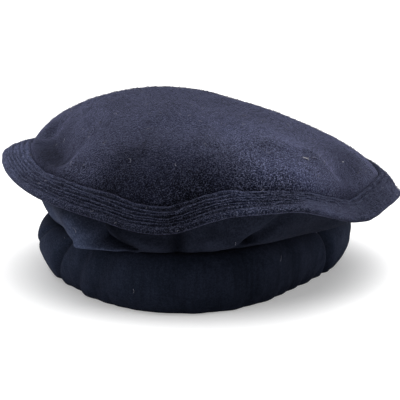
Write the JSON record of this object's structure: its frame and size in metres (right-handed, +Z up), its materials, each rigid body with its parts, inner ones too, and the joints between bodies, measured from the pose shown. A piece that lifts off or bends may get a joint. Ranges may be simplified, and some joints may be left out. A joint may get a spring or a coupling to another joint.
{
  "type": "pakol",
  "caption": "Round felted wool cap with a domed top, a wavy stitched rim, a gathered side wall and a thick rolled brim.",
  "frame": {"origin": "on the surface that the cap rests on, under the middle of the cap's box", "axes": "+Z up through the crown, -Y towards the front, +X towards the viewer's right"},
  "size_m": [0.2802, 0.277, 0.12],
  "materials": {
    "crown_felt": "napped felt, dark navy",
    "rim_felt": "stitched felt, dark navy",
    "wall_felt": "matte felt, dark navy",
    "roll_felt": "smooth reverse of the felt, dark navy"
  },
  "bodies": {
    "root": {"crown_top": "crown_felt", "stitched_rim": "rim_felt", "side_wall": "wall_felt", "rolled_brim": "roll_felt"}
  },
  "joints": []
}
